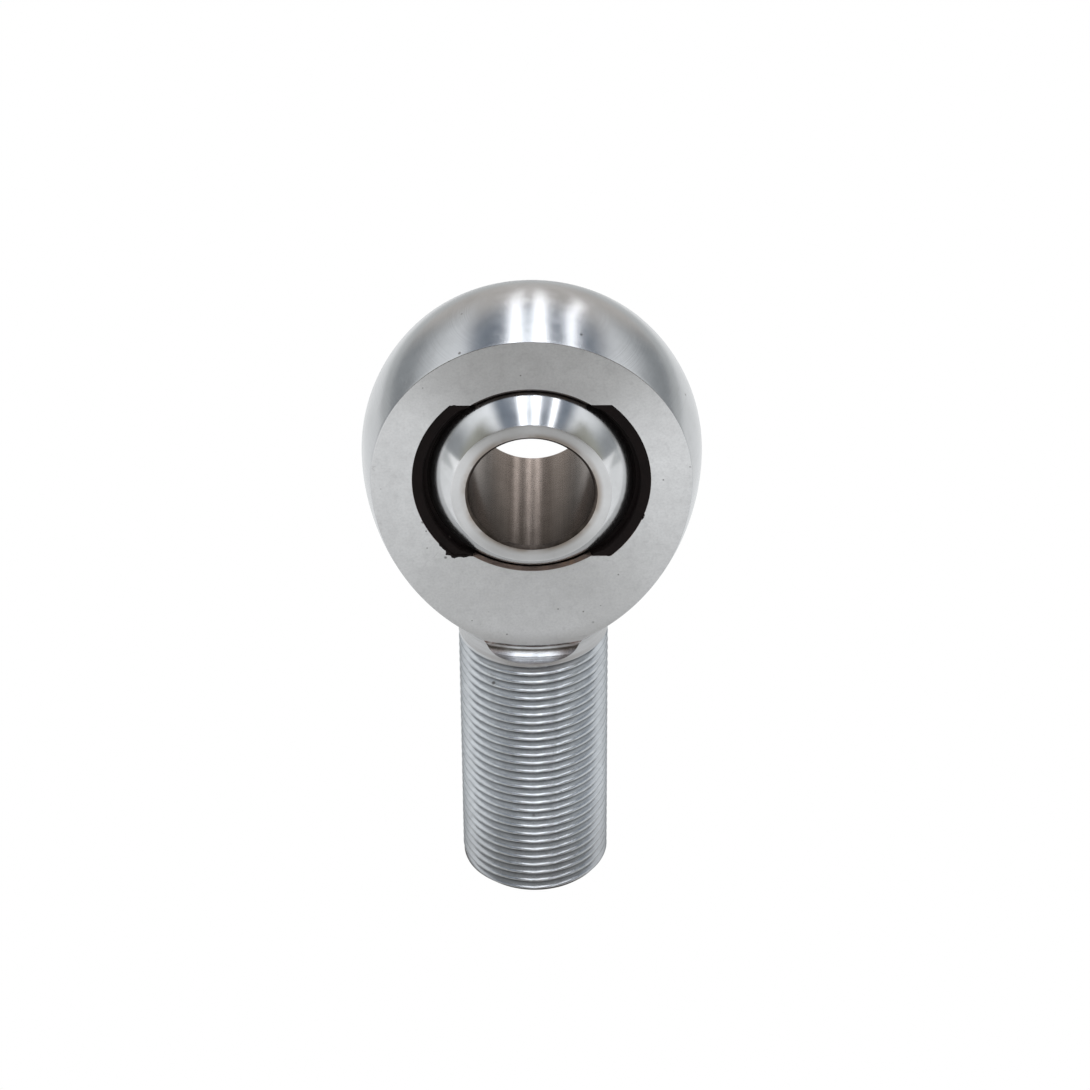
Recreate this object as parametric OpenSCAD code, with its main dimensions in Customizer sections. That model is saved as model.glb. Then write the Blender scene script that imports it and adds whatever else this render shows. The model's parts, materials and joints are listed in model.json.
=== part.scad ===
// Male rod end bearing with a bored ball in a moulded race.
// Millimetres, +Z up. The origin is the ball's centre, the bore runs along Y
// and the threaded shank points down. The loader slots open on the -Y face.

/* [Ball] */
// Diameter of the ball
ball_d = 47.625; // [47:0.125:48]
// Width of the ball across its side faces
ball_w = 34.925; // [34:0.025:36]
// Diameter of the bolt bore
bore_d = 25.4; // [20:0.1:27]
// Size of the chamfer at each end of the bore
bore_chamfer = 0.6; // [0.3:0.1:1]

/* [Head] */
// Diameter of the turned head
head_d = 69.85; // [68:0.05:72]
// Width of the head across its flats
head_w = 25.4; // [24:0.1:27]
// Radius of the long arc that draws the lower half of the head in to the neck
lower_arc_r = 50; // [49:0.5:51]
// Radius around the bore out to where the flats start to run out
flat_reach = 40.9; // [40.4:0.1:41]
// Fillet at the run-out of each flat
flat_fillet = 1.2; // [1:0.1:1.6]
// Concave fillet between the head and the shank
neck_fillet = 3; // [2:0.5:4]
// Radius of the seat's mouth where its chamfer meets each flat
mouth_r = 21.66; // [21.6:0.01:21.8]

/* [Race] */
// Space for the moulded race between the ball and the head, on the radius
race_t = 0.42; // [0.4:0.01:0.6]
// Running clearance between the ball and the race, on the radius
race_clear = 0.05; // [0.03:0.01:0.1]
// Shrinkage gap between the race and the steel around it
shrink_gap = 0.02; // [0.01:0.01:0.04]
// How far the race stops short of each flat
race_recess = 1.6; // [1.2:0.1:2]
// Radius of the step where the slot filling rises to the flat
ear_step_r = 21.46; // [21.3:0.02:21.6]

/* [Loader slots] */
// Clearance around the ball's diameter in a slot, on the radius
slot_clear = 0.38; // [0.3:0.01:0.39]
// Clearance beside the ball's faces in a slot, each side
slot_side_clear = 0.52; // [0.4:0.02:0.6]

/* [Shank] */
// Major diameter of the shank thread
thread_d = 31.75; // [31:0.05:32.5]
// Pitch of the thread, 12 to the inch
thread_pitch = 2.1167; // [2:0.0001:2.2]
// Distance from the ball's centre to the middle of the first groove
thread_from = 44.63; // [44.5:0.01:45.5]
// Distance from the ball's centre to the end of the shank
shank_end = 104.775; // [100:0.025:115]
// Chamfer at the end of the shank
end_chamfer = 1.8; // [1.4:0.1:2]

/* [Hidden] */
$fn = 96;
eps = 1;

ball_r = ball_d / 2;
head_r = head_d / 2;
flat_y = head_w / 2;
shank_r = thread_d / 2;
cavity_r = ball_r + race_t;
slot_r = ball_r + slot_clear;
slot_half = ball_w / 2 + slot_side_clear;

// The lower arc's centre lies beyond the shank's axis, level with the ball.
arc_cx = head_r - lower_arc_r;
// The neck fillet touches the lower arc on one side and the shank on the other.
fillet_cx = shank_r + neck_fillet;
fillet_cz = -sqrt(pow(lower_arc_r + neck_fillet, 2) - pow(fillet_cx - arc_cx, 2));
touch = lower_arc_r / (lower_arc_r + neck_fillet);
touch_x = arc_cx + (fillet_cx - arc_cx) * touch;
touch_z = fillet_cz * touch;

// Sixty degree thread form with a crest of an eighth of the pitch and a root of a quarter.
groove_top = thread_pitch * 7 / 8;
groove_root = thread_pitch / 4;
groove_depth = (groove_top - groove_root) / 2 * tan(60);
last_room = shank_end - end_chamfer - groove_top / 2 - thread_from;
grooves = floor(last_room / thread_pitch + 0.001) + 1;

// Outline of the shank from its end up to the neck, groove by groove.
function groove_points(i) = let (z = -(thread_from + i * thread_pitch))
    [[shank_r, z - groove_top / 2],
     [shank_r - groove_depth, z - groove_root / 2],
     [shank_r - groove_depth, z + groove_root / 2],
     [shank_r, z + groove_top / 2]];

module shank() {
    rotate_extrude()
        polygon(concat(
            [[0, -shank_end], [shank_r - end_chamfer, -shank_end], [shank_r, -shank_end + end_chamfer]],
            [for (i = [grooves - 1 : -1 : 0]) each groove_points(i)],
            [[shank_r, fillet_cz + eps], [0, fillet_cz + eps]]));
}

// Lower half of the head and the concave fillet down to the shank.
module lower_head() {
    rotate_extrude()
        intersection() {
            translate([arc_cx, 0]) circle(r = lower_arc_r, $fn = 360);
            translate([0, touch_z]) square([head_r + eps, -touch_z]);
        }
    rotate_extrude()
        difference() {
            polygon([[0, fillet_cz], [fillet_cx, fillet_cz], [touch_x, touch_z], [0, touch_z]]);
            translate([fillet_cx, fillet_cz]) circle(r = neck_fillet, $fn = 180);
        }
}

// Everything in front of one flat: a turned face with a rounded run-out.
module flat_cut() {
    rotate([90, 0, 0]) {
        translate([0, 0, flat_y]) cylinder(r = flat_reach, h = head_r);
        translate([0, 0, flat_y + flat_fillet]) cylinder(r = flat_reach + flat_fillet, h = head_r);
        translate([0, 0, flat_y + flat_fillet])
            rotate_extrude() translate([flat_reach, 0]) circle(r = flat_fillet);
    }
}

// Forty-five degree chamfer round the mouth of the seat on one flat.
module mouth_cut() {
    reach = 1.2;
    rotate([90, 0, 0])
        translate([0, 0, flat_y - reach])
            cylinder(r1 = mouth_r - reach, r2 = mouth_r + eps, h = reach + eps);
}

// The two loader slots together: the ball's side profile, sunk to the mid-plane.
module slot_space(shrink, front) {
    intersection() {
        rotate([90, 0, 0]) cylinder(r = slot_r - shrink, h = front);
        translate([-slot_r, -front, -(slot_half - shrink)])
            cube([2 * slot_r, front, 2 * (slot_half - shrink)]);
    }
}

// A ball of radius r with flat sides, w apart, across the bore's axis.
module turned_ball(r, w) {
    rotate([90, 0, 0])
        rotate_extrude()
            intersection() {
                circle(r = r);
                translate([0, -w / 2]) square([r + eps, w]);
            }
}

module rod_end_body() {
    color([0.72, 0.74, 0.75])
    difference() {
        union() {
            intersection() {
                sphere(r = head_r);
                translate([-head_r - eps, -head_r - eps, 0])
                    cube([2 * (head_r + eps), 2 * (head_r + eps), head_r + eps]);
            }
            lower_head();
            shank();
        }
        flat_cut();
        mirror([0, 1, 0]) flat_cut();
        rotate([90, 0, 0]) sphere(r = cavity_r);
        mouth_cut();
        mirror([0, 1, 0]) mouth_cut();
        slot_space(0, flat_y + eps);
    }
}

module molded_race() {
    color([0.07, 0.07, 0.075])
    difference() {
        union() {
            turned_ball(cavity_r - shrink_gap, 2 * (flat_y - race_recess));
            slot_space(shrink_gap, flat_y);
        }
        rotate([90, 0, 0]) sphere(r = ball_r + race_clear);
        translate([0, -(flat_y - race_recess), 0])
            rotate([90, 0, 0]) cylinder(r = ear_step_r, h = race_recess + eps);
    }
}

module ball() {
    color([0.86, 0.87, 0.88])
    difference() {
        turned_ball(ball_r, ball_w);
        rotate([90, 0, 0]) cylinder(r = bore_d / 2, h = ball_w + 2 * eps, center = true);
        for (side = [0, 1])
            mirror([0, side, 0])
                translate([0, -ball_w / 2 + bore_chamfer, 0])
                    rotate([90, 0, 0])
                        cylinder(r1 = bore_d / 2, r2 = bore_d / 2 + bore_chamfer + eps, h = bore_chamfer + eps);
    }
}

rod_end_body();
molded_race();
ball();
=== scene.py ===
import bpy
import bmesh
import json
import math
import numpy as np
from mathutils import Matrix, Vector


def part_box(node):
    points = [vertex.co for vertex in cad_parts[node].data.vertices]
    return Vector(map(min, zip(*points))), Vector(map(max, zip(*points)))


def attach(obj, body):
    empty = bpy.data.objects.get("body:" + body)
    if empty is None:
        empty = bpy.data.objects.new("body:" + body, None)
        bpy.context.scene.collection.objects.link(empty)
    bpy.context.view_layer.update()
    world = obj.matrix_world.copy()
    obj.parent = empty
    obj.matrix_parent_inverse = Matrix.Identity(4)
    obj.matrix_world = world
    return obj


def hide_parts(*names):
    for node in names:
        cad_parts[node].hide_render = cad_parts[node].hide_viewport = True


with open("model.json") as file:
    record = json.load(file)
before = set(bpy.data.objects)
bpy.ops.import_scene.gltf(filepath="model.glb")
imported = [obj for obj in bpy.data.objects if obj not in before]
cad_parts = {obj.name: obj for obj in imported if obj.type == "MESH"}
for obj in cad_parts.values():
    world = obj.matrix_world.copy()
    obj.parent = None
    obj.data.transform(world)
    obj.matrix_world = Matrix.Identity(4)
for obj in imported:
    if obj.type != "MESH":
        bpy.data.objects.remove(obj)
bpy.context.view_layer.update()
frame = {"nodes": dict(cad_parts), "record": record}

# ----------------------------------------------------------------------------
# Sizes in millimetres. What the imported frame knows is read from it; the rest
# are the same numbers as the CAD source's.
# ----------------------------------------------------------------------------
MM = 0.001
mounts = {m["name"]: m for m in frame["record"]["mounts"]}
ball_lo, ball_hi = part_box("ball")
body_lo, body_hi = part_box("rod_end_body")
race_lo, race_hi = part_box("molded_race")

BALL_R = 23.8125
BALL_W = ball_hi.y / MM                     # half width of the ball
BORE_R = mounts["ball_bore"]["dims"]["r_mm"]
BORE_CH = 0.6
HEAD_R = body_hi.z / MM
FLAT = -race_lo.y / MM                      # half width of the head
SHANK_R = mounts["shank_thread"]["dims"]["r_mm"]
Z_END = body_lo.z / MM
PITCH = 25.4 / 12
ARC_L = 50.0
ARC_C = HEAD_R - ARC_L
NECK_F = 3.0
REACH = 40.9
WITNESS = 40.58    # radius of the fine line the tool left just inside the end of each flat
RUN_OUT = 1.6      # how far the run-out under each flat reaches beyond the flat
RACE_T = 0.42
MOUTH = 21.66      # radius of the seat's mouth, outside its chamfer
CAVITY = BALL_R + RACE_T
SLOT_R = BALL_R + 0.38
SLOT_H = BALL_W + 0.52
RECESS = 1.6
EAR_STEP = 21.46
CHAMFER = 1.8
THREAD_FROM = 44.63
FIL_X = SHANK_R + NECK_F
FIL_Z = -math.sqrt((ARC_L + NECK_F) ** 2 - (FIL_X - ARC_C) ** 2)
TOUCH = ARC_L / (ARC_L + NECK_F)
TOUCH_Z = FIL_Z * TOUCH
Z_RING = -43.25


def smooth(a, b, x):
    t = np.clip((np.asarray(x, float) - a) / (b - a), 0, 1)
    return t * t * (3 - 2 * t)


def wave(x, y, z, seed=0.0):
    """A smooth, repeatable wobble between -1 and 1, for the small unevenness of real parts."""
    return (
        np.sin(x * 1.7 + y * 2.3 + z * 1.1 + seed)
        + np.sin(x * 3.9 - y * 1.3 + z * 2.9 + seed * 2.1)
        + np.sin(-x * 2.1 + y * 4.7 + z * 5.3 + seed * 3.7)
    ) / 3


class Shape:
    """Collects grids of quads in millimetres and turns them into one clean closed mesh."""

    def __init__(self):
        self.points, self.faces, self.tags = [], [], []
        self.count = 0

    def grid(self, pts, tag, close_u=False, close_v=False, flip=False):
        pts = np.asarray(pts, float)
        n, m, _ = pts.shape
        base = self.count
        self.points.append(pts.reshape(-1, 3))
        self.count += n * m
        iu = np.arange(n if close_u else n - 1)
        iv = np.arange(m if close_v else m - 1)
        a, b = np.meshgrid(iu, iv, indexing="ij")
        a2, b2 = (a + 1) % n, (b + 1) % m
        quad = np.stack([a * m + b, a2 * m + b, a2 * m + b2, a * m + b2], -1).reshape(-1, 4) + base
        if flip:
            quad = quad[:, ::-1]
        self.faces.append(quad)
        self.tags.append(np.full(len(quad), tag))

    def build(self, name, materials, sharp_deg=32.0, weld=2e-4):
        pts = np.vstack(self.points)
        # weld points that coincide: two fine lattices, half a cell apart, so none falls between cells
        index = np.arange(len(pts))
        for shift in (0.137, 0.637):
            key = np.floor(pts / weld + shift).astype(np.int64)
            _, first, inverse = np.unique(key, axis=0, return_index=True, return_inverse=True)
            pts, index = pts[first], inverse.ravel()[index]
        co = pts
        quads = index[np.vstack(self.faces)]
        tags = np.concatenate(self.tags)
        found = {}
        for q, t in zip(quads.tolist(), tags.tolist()):
            f = [q[0]]
            for i in q[1:]:
                if i != f[-1]:
                    f.append(i)
            if f[0] == f[-1]:
                f.pop()
            if len(set(f)) < 3 or len(set(f)) != len(f):
                continue
            k = frozenset(f)
            if k in found:
                del found[k]           # two faces back to back cancel out
            else:
                found[k] = (f, t)
        out = [f for f, _ in found.values()]
        out_tag = [t for _, t in found.values()]
        mesh = bpy.data.meshes.new(name)
        mesh.from_pydata((co * MM).tolist(), [], out)
        mesh.update()
        for m in materials:
            mesh.materials.append(m)
        mesh.polygons.foreach_set("material_index", np.array(out_tag, np.int32))
        bm = bmesh.new()
        bm.from_mesh(mesh)
        bmesh.ops.recalc_face_normals(bm, faces=bm.faces)
        loose = [v for v in bm.verts if not v.link_faces]
        bmesh.ops.delete(bm, geom=loose, context="VERTS")
        for e in bm.edges:
            if len(e.link_faces) == 2:
                e.smooth = e.calc_face_angle(0.0) < math.radians(sharp_deg)
        for f in bm.faces:
            f.smooth = True
        open_edges = sum(1 for e in bm.edges if len(e.link_faces) != 2)
        bm.to_mesh(mesh)
        bm.free()
        mesh.update()
        ob = bpy.data.objects.new(name, mesh)
        bpy.context.scene.collection.objects.link(ob)
        print("PIECE", name, len(mesh.vertices), "verts", len(mesh.polygons), "faces, open edges", open_edges)
        return ob


# ----------------------------------------------------------------------------
# Materials
# ----------------------------------------------------------------------------
class Nodes:
    """A short hand for building a node material."""

    def __init__(self, name):
        self.mat = bpy.data.materials.new(name)
        self.mat.use_nodes = True
        self.t = self.mat.node_tree
        self.bsdf = self.t.nodes["Principled BSDF"]
        self.coord = self.t.nodes.new("ShaderNodeTexCoord").outputs["Object"]

    def node(self, kind, **props):
        n = self.t.nodes.new(kind)
        for k, v in props.items():
            setattr(n, k, v)
        return n

    def put(self, socket, value):
        if hasattr(value, "is_output"):
            self.t.links.new(value, socket)
        elif value is not None:
            socket.default_value = value

    def math(self, op, a, b=None, c=None, clamp=False):
        n = self.node("ShaderNodeMath", operation=op, use_clamp=clamp)
        self.put(n.inputs[0], a)
        if b is not None:
            self.put(n.inputs[1], b)
        if c is not None:
            self.put(n.inputs[2], c)
        return n.outputs[0]

    def vec(self, op, a, b=None, scale=None):
        n = self.node("ShaderNodeVectorMath", operation=op)
        self.put(n.inputs[0], a)
        if b is not None:
            self.put(n.inputs[1], b)
        if scale is not None:
            self.put(n.inputs["Scale"], scale)
        return n.outputs["Value"] if op in ("LENGTH", "DOT_PRODUCT", "DISTANCE") else n.outputs["Vector"]

    def split(self, v):
        n = self.node("ShaderNodeSeparateXYZ")
        self.put(n.inputs[0], v)
        return n.outputs

    def join(self, x, y, z):
        n = self.node("ShaderNodeCombineXYZ")
        for s, v in zip(n.inputs, (x, y, z)):
            self.put(s, v)
        return n.outputs[0]

    def noise(self, vector, scale, detail=3.0, rough=0.55, distortion=0.0):
        n = self.node("ShaderNodeTexNoise", noise_dimensions="3D")
        self.put(n.inputs["Vector"], vector)
        n.inputs["Scale"].default_value = scale
        n.inputs["Detail"].default_value = detail
        n.inputs["Roughness"].default_value = rough
        n.inputs["Distortion"].default_value = distortion
        return n.outputs["Fac"]

    def cells(self, vector, scale, feature="F1", randomness=1.0):
        n = self.node("ShaderNodeTexVoronoi", feature=feature)
        self.put(n.inputs["Vector"], vector)
        n.inputs["Scale"].default_value = scale
        n.inputs["Randomness"].default_value = randomness
        return n

    def ramp(self, value, stops, mode="LINEAR"):
        n = self.node("ShaderNodeValToRGB")
        n.color_ramp.interpolation = mode
        e = n.color_ramp.elements
        while len(e) > 1:
            e.remove(e[-1])
        e[0].position = stops[0][0]
        e[0].color = (*stops[0][1], 1) if isinstance(stops[0][1], tuple) else (stops[0][1],) * 3 + (1,)
        for p, c in stops[1:]:
            x = e.new(p)
            x.color = (*c, 1) if isinstance(c, tuple) else (c, c, c, 1)
        self.put(n.inputs[0], value)
        return n.outputs["Color"]

    def range(self, value, a, b, c=0.0, d=1.0, smoothly=True):
        n = self.node("ShaderNodeMapRange", interpolation_type="SMOOTHSTEP" if smoothly else "LINEAR")
        for s, v in zip(n.inputs, (value, a, b, c, d)):
            self.put(s, v)
        return n.outputs[0]

    def mix(self, fac, a, b, mode="MIX"):
        n = self.node("ShaderNodeMix", data_type="RGBA", blend_type=mode)
        self.put(n.inputs[0], fac)
        self.put(n.inputs[6], (*a, 1) if isinstance(a, tuple) else a)
        self.put(n.inputs[7], (*b, 1) if isinstance(b, tuple) else b)
        return n.outputs[2]

    def bump(self, height, distance, strength=1.0, normal=None):
        n = self.node("ShaderNodeBump")
        n.inputs["Strength"].default_value = strength
        n.inputs["Distance"].default_value = distance
        self.put(n.inputs["Height"], height)
        if normal is not None:
            self.put(n.inputs["Normal"], normal)
        return n.outputs["Normal"]

    def radius(self, axis):
        x, y, z = self.split(self.coord)
        pair = {"x": (y, z), "y": (x, z), "z": (x, y)}[axis]
        return self.math("SQRT", self.math("ADD", self.math("MULTIPLY", pair[0], pair[0]), self.math("MULTIPLY", pair[1], pair[1])))

    def angle(self, axis):
        x, y, z = self.split(self.coord)
        pair = {"x": (z, y), "y": (x, z), "z": (y, x)}[axis]
        return self.math("ARCTAN2", pair[0], pair[1])

    def specks(self, scale, size, seed=(0.0, 0.0, 0.0), share=0.5):
        """Sparse small marks: 1 at a mark, 0 elsewhere."""
        v = self.cells(self.vec("ADD", self.coord, seed), scale)
        near = self.range(v.outputs["Distance"], size * 0.35, size, 1.0, 0.0)
        pick = self.split(v.outputs["Color"])[0]
        return self.math("MULTIPLY", near, self.math("GREATER_THAN", pick, 1.0 - share))

    def done(self, color=None, metallic=None, roughness=None, normal=None, anisotropy=None, tangent=None, **more):
        b = self.bsdf.inputs
        self.put(b["Base Color"], (*color, 1) if isinstance(color, tuple) else color)
        self.put(b["Metallic"], metallic)
        self.put(b["Roughness"], roughness)
        if normal is not None:
            self.put(b["Normal"], normal)
        if anisotropy is not None:
            self.put(b["Anisotropic"], anisotropy)
        if tangent is not None:
            self.put(b["Tangent"], tangent)
            b["Anisotropic Rotation"].default_value = 0.25
        for k, v in more.items():
            self.put(b[k.replace("_", " ")], v)
        return self.mat


def radial_tangent(n, axis):
    """Direction of turned marks that run round an axis through the ball's centre."""
    x, y, z = n.split(n.coord)
    t = n.join(z, 0.0, n.math("MULTIPLY", x, -1.0)) if axis == "Y" else n.join(n.math("MULTIPLY", y, -1.0), x, 0.0)
    turn = n.node("ShaderNodeVectorTransform", vector_type="VECTOR", convert_from="OBJECT", convert_to="WORLD")
    n.put(turn.inputs[0], n.vec("NORMALIZE", t))
    return turn.outputs[0]


def turned_marks(n, coord_value, per_mm, wobble=0.15):
    """Fine lathe lines along one coordinate: uneven, as feed marks are."""
    v = n.math("MULTIPLY", coord_value, per_mm / MM)
    w = n.noise(n.vec("MULTIPLY", n.coord, (90.0, 90.0, 90.0)), 1.0, 1.0)
    return n.noise(n.join(n.math("ADD", v, n.math("MULTIPLY", w, wobble)), 0.0, 0.0), 1.0, 4.0, 0.6)


def plated_outer():
    """The head's turned outside: bright zinc over fine lathe lines about the shank's axis."""
    n = Nodes("zinc_turned_outside")
    x, y, z = n.split(n.coord)
    # length along the turned outline from the top of the ball shape, so the marks are evenly spaced
    along = n.math("MULTIPLY", n.math("ARCTAN2", n.radius("z"), z), HEAD_R * MM)
    lines = turned_marks(n, along, 4.2, 0.06)
    cloud = n.noise(n.coord, 130.0, 4.0)
    fine = n.noise(n.coord, 2600.0, 2.0)
    haze = n.noise(n.coord, 420.0, 5.0, 0.65)
    dirt = n.specks(290.0, 0.13, (3.1, 0.4, 1.7), 0.07)
    tone = n.ramp(n.math("ADD", n.math("MULTIPLY", cloud, 0.6), n.math("MULTIPLY", haze, 0.4)),
                  [(0.25, (0.485, 0.488, 0.492)), (0.5, (0.56, 0.566, 0.573)), (0.8, (0.61, 0.618, 0.628))])
    tone = n.mix(n.math("MULTIPLY", n.range(lines, 0.42, 0.66), 0.30), tone, (0.38, 0.38, 0.385))
    low = n.math("MULTIPLY", n.range(z, -41.6 * MM, -42.6 * MM), n.math("DIVIDE", n.math("ABSOLUTE", y), SHANK_R * MM))
    low = n.math("MULTIPLY", n.math("POWER", low, 3.0), n.range(cloud, 0.25, 0.6, 0.6, 1.0))
    tone = n.mix(n.math("MULTIPLY", low, 0.75), tone, (0.235, 0.205, 0.19))
    # painted shade: the neck under the head is darkened, unevenly with the haze
    painted_shading = n.math("MULTIPLY", n.range(z, -38.6 * MM, -40.6 * MM), n.range(haze, 0.3, 0.6, 0.7, 1.0))
    tone = n.mix(n.math("MULTIPLY", painted_shading, 0.42), tone, (0.32, 0.315, 0.31))
    color = n.mix(n.math("MULTIPLY", dirt, 0.75), tone, (0.10, 0.09, 0.08))
    rough = n.math("ADD", 0.13, n.math("ADD", n.math("MULTIPLY", haze, 0.10), n.math("MULTIPLY", lines, 0.04)))
    scratch = n.cells(n.vec("MULTIPLY", n.coord, (260.0, 900.0, 700.0)), 1.0, "DISTANCE_TO_EDGE").outputs["Distance"]
    scr = n.range(scratch, 0.0, 0.012, 1.0, 0.0)
    scr = n.math("MULTIPLY", scr, n.range(n.noise(n.coord, 210.0, 2.0), 0.60, 0.70))
    h = n.math("ADD", n.math("MULTIPLY", lines, 0.6), n.math("MULTIPLY", fine, 0.4))
    nb = n.bump(h, 0.000009, 0.7)
    nb = n.bump(n.math("SUBTRACT", n.math("MULTIPLY", haze, 0.6), n.math("ADD", n.math("MULTIPLY", scr, 0.5), dirt)), 0.00002, 0.35, nb)
    return n.done(color, 1.0, rough, nb, 0.35, radial_tangent(n, "Z"))


def plated_flat():
    """The head's flats: faced about the bore, a fine satin grey with sparse specks and hairline scratches."""
    n = Nodes("zinc_satin_flat")
    r = n.radius("y")
    lines = turned_marks(n, r, 7.0)
    cloud = n.noise(n.coord, 45.0, 3.0)
    grain = n.noise(n.coord, 1900.0, 3.0, 0.7)
    haze = n.noise(n.coord, 330.0, 5.0, 0.6)
    dirt = n.math("MAXIMUM", n.specks(230.0, 0.11, (1.3, 0.2, 4.4), 0.13), n.specks(560.0, 0.14, (7.3, 1.2, 2.2), 0.12))
    stretched = n.vec("MULTIPLY", n.coord, (90.0, 90.0, 520.0))
    hair = n.cells(n.vec("ADD", stretched, (0.7, 0.1, 0.3)), 1.0, "DISTANCE_TO_EDGE").outputs["Distance"]
    hair = n.math("MULTIPLY", n.range(hair, 0.0, 0.006, 1.0, 0.0), n.range(n.noise(n.coord, 120.0, 2.0), 0.58, 0.66))
    tone = n.ramp(n.math("ADD", n.math("MULTIPLY", cloud, 0.5), n.math("MULTIPLY", haze, 0.5)),
                  [(0.32, (0.61, 0.611, 0.613)), (0.5, (0.687, 0.689, 0.692)), (0.68, (0.757, 0.76, 0.765))])
    tone = n.mix(n.math("MULTIPLY", n.range(grain, 0.35, 0.70), 0.20), tone, (0.40, 0.40, 0.405))
    blotch = n.noise(n.coord, 900.0, 2.0, 0.5)
    tone = n.mix(n.math("MULTIPLY", n.range(blotch, 0.52, 0.75), 0.18), tone, (0.42, 0.42, 0.425))
    faint = n.math("MULTIPLY", n.range(r, 36.2 * MM, 40.7 * MM), n.range(haze, 0.3, 0.6, 0.55, 1.0))
    tone = n.mix(n.math("MULTIPLY", faint, 0.55), tone, (0.33, 0.32, 0.31))
    off = n.math("ABSOLUTE", n.math("SUBTRACT", r, (WITNESS + 0.05) * MM))
    rust = n.math("MULTIPLY", n.range(off, 0.05 * MM, 0.36 * MM, 1.0, 0.0), n.range(haze, 0.34, 0.56, 0.15, 0.95))
    tone = n.mix(rust, tone, (0.13, 0.065, 0.05))
    color = n.mix(n.math("MULTIPLY", n.math("MAXIMUM", dirt, n.math("MULTIPLY", hair, 0.45)), 0.8), tone, (0.12, 0.115, 0.11))
    rough = n.math("ADD", 0.275, n.math("MULTIPLY", haze, 0.08))
    h = n.math("ADD", n.math("MULTIPLY", lines, 0.4), n.math("MULTIPLY", grain, 0.6))
    nb = n.bump(h, 0.000010, 0.4)
    nb = n.bump(n.math("MULTIPLY", n.math("MAXIMUM", dirt, hair), -1.0), 0.00002, 0.5, nb)
    return n.done(color, 1.0, rough, nb, 0.85, radial_tangent(n, "Y"))


def plated_runout():
    """The rounded run-out under each flat: smoother and brighter, with a brown line where dirt sits in its corner, and
    painted shade towards its two ends.
    """
    n = Nodes("zinc_runout")
    haze = n.noise(n.coord, 500.0, 4.0)
    r = n.radius("y")
    lines = turned_marks(n, r, 9.0)
    color = n.ramp(haze, [(0.3, (0.52, 0.53, 0.545)), (0.7, (0.68, 0.695, 0.715))])
    off = n.math("ABSOLUTE", n.math("SUBTRACT", r, (WITNESS + 0.03) * MM))
    stain = n.math("MULTIPLY", n.range(off, 0.10 * MM, 0.30 * MM, 1.0, 0.0), n.range(haze, 0.30, 0.58, 0.45, 1.0))
    color = n.mix(n.math("MULTIPLY", stain, 0.85), color, (0.085, 0.042, 0.032))
    x, y, z = n.split(n.coord)
    rim = n.math("MULTIPLY", n.range(n.math("ABSOLUTE", y), 14.9 * MM, 15.8 * MM), n.range(haze, 0.3, 0.6, 0.5, 1.0))
    color = n.mix(n.math("MULTIPLY", rim, 0.75), color, (0.20, 0.15, 0.13))
    # painted shade: the run-out darkens towards its left and right ends, where its bright reflection fades
    ends_painted_shade = n.math("MULTIPLY", n.range(n.math("ABSOLUTE", n.math("ADD", x, 0.3 * MM)), 3.0 * MM, 7.2 * MM), n.range(haze, 0.25, 0.6, 0.55, 0.95))
    color = n.mix(ends_painted_shade, color, (0.225, 0.20, 0.19))
    return n.done(color, 1.0, n.math("ADD", 0.15, n.math("MULTIPLY", haze, 0.14)), n.bump(lines, 0.000010, 0.6))


def plated_thread():
    """Rolled thread: cool bright zinc, with painted shade down in the roots and towards the bottom end, and rubbed
    crests.
    """
    n = Nodes("zinc_thread")
    r = n.radius("z")
    haze = n.noise(n.coord, 520.0, 4.0, 0.6)
    streak = n.noise(n.vec("MULTIPLY", n.coord, (260.0, 260.0, 900.0)), 1.0, 3.0)
    # painted shade: the roots between the crests are darkened, where shade falls
    root = n.range(r, (SHANK_R - 1.28) * MM, (SHANK_R - 0.62) * MM, 1.0, 0.0)
    crest = n.range(r, (SHANK_R - 0.16) * MM, (SHANK_R - 0.01) * MM)
    tone = n.ramp(n.math("ADD", n.math("MULTIPLY", haze, 0.5), n.math("MULTIPLY", streak, 0.5)),
                  [(0.3, (0.50, 0.515, 0.53)), (0.7, (0.66, 0.68, 0.70))])
    tone = n.mix(n.math("MULTIPLY", root, n.math("ADD", 0.45, n.math("MULTIPLY", streak, 0.35))), tone, (0.10, 0.105, 0.115))
    x, y, z = n.split(n.coord)
    low = n.math("MULTIPLY", n.range(z, -45.0 * MM, -43.9 * MM), n.math("DIVIDE", n.math("ABSOLUTE", y), SHANK_R * MM))
    low = n.math("MULTIPLY", n.math("POWER", low, 3.0), n.range(haze, 0.25, 0.6, 0.6, 1.0))
    tone = n.mix(n.math("MULTIPLY", low, 0.75), tone, (0.235, 0.205, 0.19))
    dirt = n.specks(250.0, 0.15, (0.3, 5.2, 2.1), 0.10)
    color = n.mix(n.math("MULTIPLY", dirt, 0.8), tone, (0.07, 0.06, 0.05))
    rough = n.math("ADD", 0.15, n.math("ADD", n.math("MULTIPLY", haze, 0.12), n.math("MULTIPLY", crest, 0.04)))
    # painted shade: the thread darkens towards its bottom end, standing in for the shadowed floor close to the base
    color = n.mix(n.range(z, -78.0 * MM, -101.0 * MM, 0.0, 0.36), color, (0.30, 0.295, 0.29))
    end = n.math("MULTIPLY", n.range(z, -102.7 * MM, -103.1 * MM), n.range(haze, 0.3, 0.6, 0.75, 0.95))
    color = n.mix(end, color, (0.12, 0.108, 0.102))
    fine = n.noise(n.vec("MULTIPLY", n.coord, (160.0, 160.0, 2400.0)), 1.0, 2.0)
    nb = n.bump(fine, 0.000006, 0.35)
    nb = n.bump(n.noise(n.coord, 260.0, 2.0), 0.00002, 0.25, nb)
    rough = n.math("ADD", rough, n.math("MULTIPLY", end, 0.35))
    return n.done(color, n.math("SUBTRACT", 1.0, n.math("MULTIPLY", end, 0.75)), rough, nb)


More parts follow.
